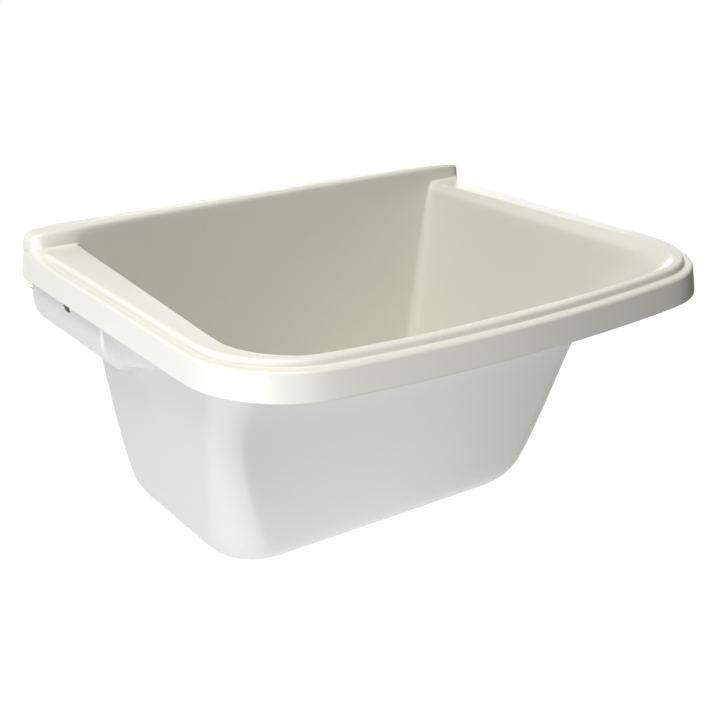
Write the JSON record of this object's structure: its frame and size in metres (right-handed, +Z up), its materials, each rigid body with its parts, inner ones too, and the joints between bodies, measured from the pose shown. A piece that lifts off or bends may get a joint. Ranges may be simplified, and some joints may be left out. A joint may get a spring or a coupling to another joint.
{
  "type": "laundry sink",
  "caption": "Wall-hung moulded laundry sink: deep tapered basin with a broad beaded rim and rear upstand, dished strainer waste, lift-out plug, and wall brackets inside its cheeks",
  "frame": {"origin": "centre of the four wall fixings, in the plane of the wall", "axes": "+X to the right seen from the front, +Y back into the wall, +Z up"},
  "size_m": [0.6, 0.5553, 0.3874],
  "materials": {
    "basin_plastic": "ivory white moulded plastic with a satin gloss",
    "strainer_steel": "pressed stainless steel, lightly brushed",
    "seal_rubber": "black sealing rubber",
    "waste_plastic": "white moulded plastic",
    "plug_rubber": "black rubber",
    "ring_chrome": "bright plated wire",
    "bracket_paint": "white powder-coated steel",
    "fixing_zinc": "zinc-plated steel"
  },
  "bodies": {
    "sink": {"basin": "basin_plastic", "waste_flange": "strainer_steel", "flange_seal": "seal_rubber", "body_seal": "seal_rubber", "waste_body": "waste_plastic", "waste_screw": "strainer_steel", "bracket_left": "bracket_paint", "bracket_right": "bracket_paint", "basin_screws": "fixing_zinc", "wall_screws": "fixing_zinc", "screw_washers": "fixing_zinc"},
    "stopper": {"plug": "plug_rubber"},
    "pull_ring": {"plug_ring": "ring_chrome"}
  },
  "joints": [
    {"name": "plug_lift", "type": "slide", "parent": "sink", "child": "stopper", "axis": [0, 0, 1], "range_m": [0, 0.36]},
    {"name": "ring_turn", "type": "hinge", "parent": "stopper", "child": "pull_ring", "pos_m": [0, -0.145, -0.2656], "axis": [1, 0, 0], "range_deg": [0, 180]}
  ]
}
